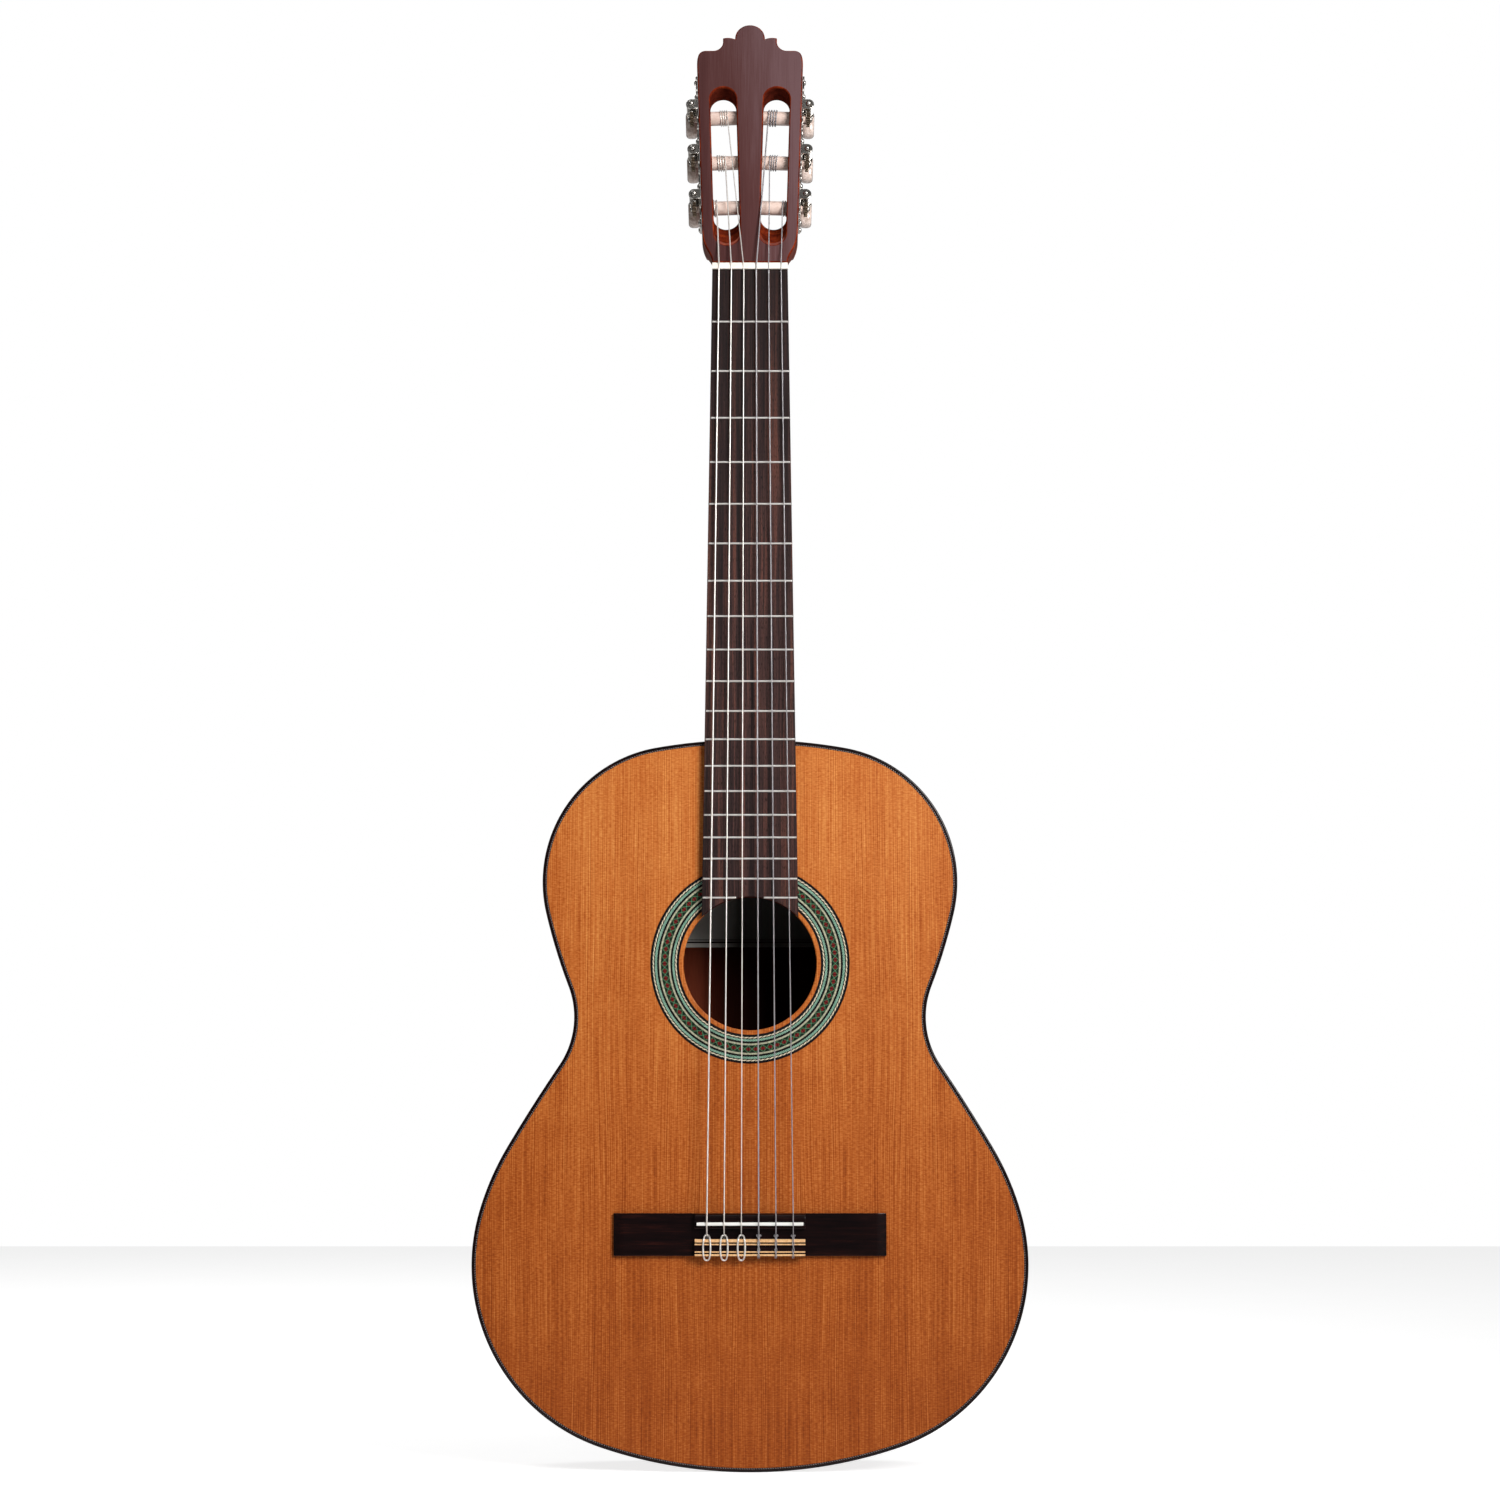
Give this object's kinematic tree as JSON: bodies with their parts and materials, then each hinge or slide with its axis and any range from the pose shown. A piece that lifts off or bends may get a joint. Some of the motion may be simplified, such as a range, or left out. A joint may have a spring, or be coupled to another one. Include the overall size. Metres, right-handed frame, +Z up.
{
  "type": "classical guitar",
  "caption": "Classical guitar with a flat cedar soundboard, slotted head, geared tuning machines that turn, and a hollow body with bars, linings and an arched back.",
  "frame": {"origin": "on the guitar's centre line, at the nut's front edge where the scale length starts, on the plane of the soundboard's outer face", "axes": "+Z up the neck towards the head's crest, +Y from the soundboard into the body, +X towards the treble side"},
  "size_m": [0.3764, 0.1147, 1.0051],
  "materials": {
    "cedar": "gloss varnish over straight-grained cedar",
    "rosewood": "gloss varnish",
    "mahogany": "satin reddish-brown varnish",
    "spruce": "bare sanded",
    "head_face": "satin dark stain",
    "fingerboard_wood": "oiled, open grain",
    "bone": "polished",
    "mosaic": "inlaid dyed veneers under varnish",
    "nickel": "polished nickel plate",
    "brass": "plated brass",
    "pearl": "pearl-look plastic",
    "barrel": "smooth cream plastic",
    "nylon": "clear nylon",
    "wound": "silver-plated fine winding"
  },
  "bodies": {
    "root": {"soundboard": "cedar", "rosette": "mosaic", "harmonic_bar_upper": "spruce", "harmonic_bar_lower": "spruce", "fan_strut_1": "spruce", "fan_strut_2": "spruce", "fan_strut_3": "spruce", "fan_strut_4": "spruce", "fan_strut_5": "spruce", "back_bar_1": "spruce", "back_bar_2": "spruce", "back_bar_3": "spruce", "back_bass": "rosewood", "back_treble": "rosewood", "side_bass": "rosewood", "side_treble": "rosewood", "top_binding": "rosewood", "back_binding": "rosewood", "top_lining": "spruce", "back_lining": "spruce", "tail_block": "mahogany", "neck": "mahogany", "heel_cap": "rosewood", "head_plate": "head_face", "fingerboard": "fingerboard_wood", "nut": "bone", "bridge": "rosewood", "saddle": "bone", "string_1": "nylon", "string_2": "nylon", "string_3": "nylon", "string_4": "wound", "string_5": "wound", "string_6": "wound", "machine_plate_treble": "nickel", "machine_plate_bass": "nickel"},
    "tuner_1": {"worm_1": "nickel", "button_1": "pearl"},
    "string_roller_1": {"roller_1": "barrel", "gear_1": "brass"},
    "tuner_2": {"worm_2": "nickel", "button_2": "pearl"},
    "string_roller_2": {"roller_2": "barrel", "gear_2": "brass"},
    "tuner_3": {"worm_3": "nickel", "button_3": "pearl"},
    "string_roller_3": {"roller_3": "barrel", "gear_3": "brass"},
    "tuner_4": {"worm_4": "nickel", "button_4": "pearl"},
    "string_roller_4": {"roller_4": "barrel", "gear_4": "brass"},
    "tuner_5": {"worm_5": "nickel", "button_5": "pearl"},
    "string_roller_5": {"roller_5": "barrel", "gear_5": "brass"},
    "tuner_6": {"worm_6": "nickel", "button_6": "pearl"},
    "string_roller_6": {"roller_6": "barrel", "gear_6": "brass"}
  },
  "joints": [
    {"name": "tuner_1_spin", "type": "hinge", "parent": "root", "child": "tuner_1", "pos_m": [0.03895, 0.02132, 0.05531], "axis": [0, 0.9703, -0.2419], "continuous": true},
    {"name": "roller_1_spin", "type": "hinge", "parent": "root", "child": "string_roller_1", "pos_m": [0.03871, 0.01948, 0.04794], "axis": [0.9995, -0.0076, -0.0303], "continuous": true},
    {"name": "tuner_2_spin", "type": "hinge", "parent": "root", "child": "tuner_2", "pos_m": [0.04004, 0.02978, 0.08926], "axis": [0, 0.9703, -0.2419], "continuous": true},
    {"name": "roller_2_spin", "type": "hinge", "parent": "root", "child": "string_roller_2", "pos_m": [0.0398, 0.02794, 0.08188], "axis": [0.9995, -0.0076, -0.0303], "continuous": true},
    {"name": "tuner_3_spin", "type": "hinge", "parent": "root", "child": "tuner_3", "pos_m": [0.04113, 0.03824, 0.1232], "axis": [0, 0.9703, -0.2419], "continuous": true},
    {"name": "roller_3_spin", "type": "hinge", "parent": "root", "child": "string_roller_3", "pos_m": [0.0409, 0.0364, 0.11583], "axis": [0.9995, -0.0076, -0.0303], "continuous": true},
    {"name": "tuner_4_spin", "type": "hinge", "parent": "root", "child": "tuner_4", "pos_m": [-0.04113, 0.03824, 0.1232], "axis": [0, 0.9703, -0.2419], "continuous": true},
    {"name": "roller_4_spin", "type": "hinge", "parent": "root", "child": "string_roller_4", "pos_m": [-0.0409, 0.0364, 0.11583], "axis": [-0.9995, -0.0076, -0.0303], "continuous": true},
    {"name": "tuner_5_spin", "type": "hinge", "parent": "root", "child": "tuner_5", "pos_m": [-0.04004, 0.02978, 0.08926], "axis": [0, 0.9703, -0.2419], "continuous": true},
    {"name": "roller_5_spin", "type": "hinge", "parent": "root", "child": "string_roller_5", "pos_m": [-0.0398, 0.02794, 0.08188], "axis": [-0.9995, -0.0076, -0.0303], "continuous": true},
    {"name": "tuner_6_spin", "type": "hinge", "parent": "root", "child": "tuner_6", "pos_m": [-0.03895, 0.02132, 0.05531], "axis": [0, 0.9703, -0.2419], "continuous": true},
    {"name": "roller_6_spin", "type": "hinge", "parent": "root", "child": "string_roller_6", "pos_m": [-0.03871, 0.01948, 0.04794], "axis": [-0.9995, -0.0076, -0.0303], "continuous": true}
  ],
  "couplings": [
    {"joint": "roller_1_spin", "follows": "tuner_1_spin", "ratio": 0.071429},
    {"joint": "roller_2_spin", "follows": "tuner_2_spin", "ratio": 0.071429},
    {"joint": "roller_3_spin", "follows": "tuner_3_spin", "ratio": 0.071429},
    {"joint": "roller_4_spin", "follows": "tuner_4_spin", "ratio": 0.071429},
    {"joint": "roller_5_spin", "follows": "tuner_5_spin", "ratio": 0.071429},
    {"joint": "roller_6_spin", "follows": "tuner_6_spin", "ratio": 0.071429}
  ]
}
